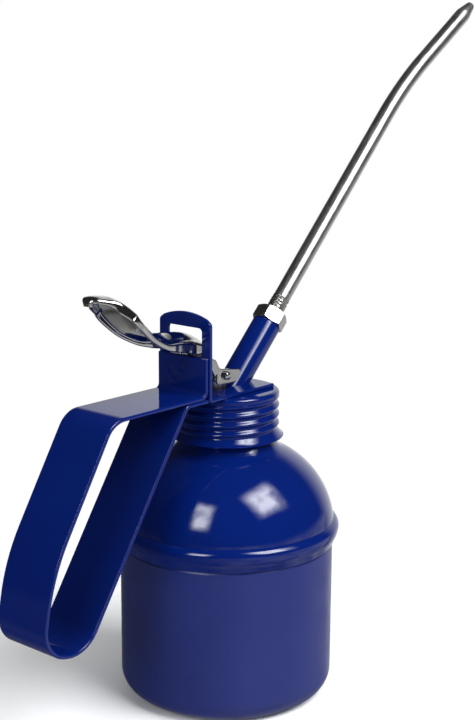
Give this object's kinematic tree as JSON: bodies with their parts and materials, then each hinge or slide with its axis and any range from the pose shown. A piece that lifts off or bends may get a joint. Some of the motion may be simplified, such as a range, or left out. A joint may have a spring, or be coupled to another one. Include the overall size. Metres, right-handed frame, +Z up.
{
  "type": "hand oiler can",
  "caption": "Pressed steel oil can with a domed shoulder, screwed head, open strap handle, thumb-lever lift pump and long angled spout.",
  "frame": {"origin": "centre of the can's flat base, on the can's axis", "axes": "+Z up along the can's axis, +X towards the spout, the handle on the -X side, +Y across"},
  "size_m": [0.283, 0.091, 0.2795],
  "materials": {
    "body_paint": "satin blue enamel",
    "gloss_paint": "glossy blue enamel",
    "lever_chrome": "bright plated",
    "spout_chrome": "bright plated, drawn along its length",
    "zinc": "bright zinc plated",
    "spring_steel": "polished",
    "brass": "turned",
    "rubber": "matte",
    "cup_leather": "oiled",
    "packing": "waxed cord"
  },
  "bodies": {
    "can": {"can_body": "body_paint", "can_shoulder": "gloss_paint"},
    "seal": {"cap_gasket": "rubber"},
    "head": {"cap": "gloss_paint", "handle_strap": "gloss_paint", "lever_bracket": "gloss_paint", "pump_head": "brass", "gland_packing": "packing", "gland_nut": "zinc", "pump_barrel": "brass", "foot_valve_seat": "brass", "foot_valve_stop": "brass", "suction_tube": "zinc", "suction_strainer": "brass", "spout_boss": "gloss_paint", "outlet_valve_seat": "brass", "return_spring": "spring_steel"},
    "lever": {"thumb_lever": "lever_chrome"},
    "plunger": {"plunger_rod": "zinc", "plunger_pin": "lever_chrome", "piston_body": "brass", "piston_cup": "cup_leather", "piston_nut": "brass"},
    "foot_ball": {"foot_valve_ball": "spring_steel"},
    "outlet_ball": {"outlet_valve_ball": "spring_steel"},
    "spout": {"spout_tube": "spout_chrome", "spout_ferrule": "zinc", "spout_lock_nut": "zinc"}
  },
  "joints": [
    {"name": "head_rise", "type": "slide", "parent": "can", "child": "seal", "axis": [0, 0, 1], "range_m": [0, 0.0111]},
    {"name": "head_turn", "type": "hinge", "parent": "seal", "child": "head", "pos_m": [0, 0, 0], "axis": [0, 0, 1], "range_deg": [0, 1081]},
    {"name": "lever_press", "type": "hinge", "parent": "head", "child": "lever", "pos_m": [-0.0251, 0, 0.14201], "axis": [0, -1, 0], "range_deg": [0, 18], "stiffness_Nm_per_rad": 0.6, "springref_deg": -25.78},
    {"name": "plunger_lift", "type": "slide", "parent": "head", "child": "plunger", "axis": [0, 0, 1], "range_m": [0, 0.0058], "deforming": ["return_spring"]},
    {"name": "foot_ball_lift", "type": "slide", "parent": "head", "child": "foot_ball", "axis": [0, 0, 1], "range_m": [0, 0.0015]},
    {"name": "outlet_ball_lift", "type": "slide", "parent": "head", "child": "outlet_ball", "axis": [0.7021, 0, 0.712], "range_m": [0, 0.0015]},
    {"name": "spout_turn", "type": "hinge", "parent": "head", "child": "spout", "pos_m": [0.02428, 0, 0.1471], "axis": [0.7021, 0, 0.712], "range_deg": [-180, 180]}
  ],
  "couplings": [
    {"joint": "head_turn", "follows": "head_rise", "rad_per_m": 1698.2},
    {"joint": "plunger_lift", "follows": "lever_press", "m_per_rad": 0.018378}
  ]
}
